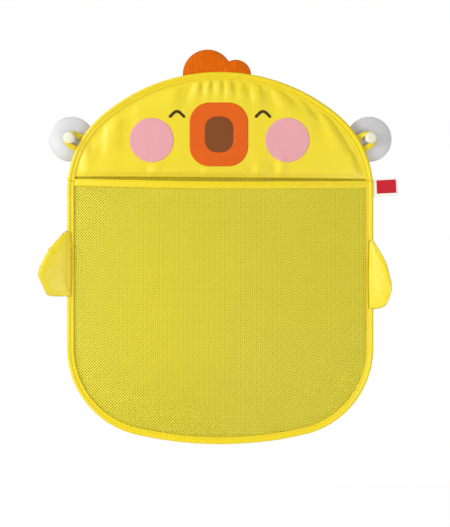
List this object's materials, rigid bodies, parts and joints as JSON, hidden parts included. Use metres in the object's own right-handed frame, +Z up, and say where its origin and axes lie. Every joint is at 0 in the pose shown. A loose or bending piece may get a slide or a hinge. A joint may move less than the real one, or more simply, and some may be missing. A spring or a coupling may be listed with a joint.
{
  "type": "bath toy organizer",
  "caption": "Hanging mesh bag for bath toys with a chick's face, padded wings and comb, a front pocket on a wire hoop, and tape loops hooked on suction cups.",
  "frame": {"origin": "on the wall's surface, midway between the two suction cups", "axes": "+X to the right as seen from the room, +Y into the wall, +Z up"},
  "size_m": [0.4193, 0.038, 0.4581],
  "materials": {
    "wire": "coated spring wire",
    "ferrule": "crimped",
    "binding": "woven polyester tape",
    "satin": "glossy polyester cloth",
    "mesh": "knitted polyester net",
    "elastic": "flat braided elastic",
    "orange": "applique cloth",
    "brown": "applique cloth",
    "pink": "applique cloth",
    "dark": "satin stitch",
    "fleece": "short fleece",
    "padding": "loose polyester wadding",
    "label": "woven satin ribbon",
    "cup": "clear soft vinyl",
    "knob": "moulded, glossy"
  },
  "bodies": {
    "bag": {"frame_hoop": "wire", "hoop_ferrule": "ferrule", "head_binding": "binding", "body_binding": "binding", "face_panel": "satin", "back_mesh": "mesh", "pocket_mesh": "mesh", "mouth_tape": "binding", "mouth_elastic": "elastic", "beak_patch": "orange", "mouth_patch": "brown", "left_cheek_patch": "pink", "right_cheek_patch": "pink", "left_eye_patch": "dark", "right_eye_patch": "dark"},
    "comb": {"comb_cover": "fleece", "comb_padding": "padding"},
    "left_wing": {"left_wing_cover": "satin", "left_wing_padding": "padding"},
    "right_wing": {"right_wing_cover": "satin", "right_wing_padding": "padding"},
    "label": {"label": "label"},
    "left_loop": {"left_hanging_loop": "binding"},
    "right_loop": {"right_hanging_loop": "binding"},
    "left_knob": {"left_knob": "knob"},
    "right_knob": {"right_knob": "knob"},
    "left_cup": {"left_suction_cup": "cup"},
    "right_cup": {"right_suction_cup": "cup"}
  },
  "joints": [
    {"name": "comb_fold", "type": "hinge", "parent": "bag", "child": "comb", "pos_m": [0, -0.013, 0.0734], "axis": [1, 0, 0], "range_deg": [-25, 60], "stiffness_Nm_per_rad": 0.02},
    {"name": "left_wing_flap", "type": "hinge", "parent": "bag", "child": "left_wing", "pos_m": [-0.173, -0.0169, -0.145], "axis": [0, 0, 1], "range_deg": [0, 120], "stiffness_Nm_per_rad": 0.02},
    {"name": "right_wing_flap", "type": "hinge", "parent": "bag", "child": "right_wing", "pos_m": [0.173, -0.0169, -0.157], "axis": [0, 0, -1], "range_deg": [0, 120], "stiffness_Nm_per_rad": 0.02},
    {"name": "label_flap", "type": "hinge", "parent": "bag", "child": "label", "pos_m": [0.1787, -0.013, -0.0578], "axis": [0, 0, -1], "range_deg": [-25, 90], "stiffness_Nm_per_rad": 0.002},
    {"name": "left_loop_fold", "type": "hinge", "parent": "bag", "child": "left_loop", "pos_m": [-0.16162, -0.013, -0.00704], "axis": [0.4795, 0, 0.8776], "range_deg": [0, 90], "stiffness_Nm_per_rad": 0.05},
    {"name": "right_loop_fold", "type": "hinge", "parent": "bag", "child": "right_loop", "pos_m": [0.16162, -0.013, -0.00704], "axis": [0.4795, 0, -0.8776], "range_deg": [0, 90], "stiffness_Nm_per_rad": 0.05},
    {"name": "left_knob_unhook", "type": "slide", "parent": "left_loop", "child": "left_knob", "axis": [0, 1, 0], "range_m": [0, 0.025], "deforming": ["left_hanging_loop"]},
    {"name": "right_knob_unhook", "type": "slide", "parent": "right_loop", "child": "right_knob", "axis": [0, 1, 0], "range_m": [0, 0.025], "deforming": ["right_hanging_loop"]},
    {"name": "left_cup_turn", "type": "hinge", "parent": "left_knob", "child": "left_cup", "pos_m": [-0.1745, -0.007, 0], "axis": [0, 1, 0], "continuous": true},
    {"name": "right_cup_turn", "type": "hinge", "parent": "right_knob", "child": "right_cup", "pos_m": [0.1745, -0.007, 0], "axis": [0, 1, 0], "continuous": true}
  ]
}
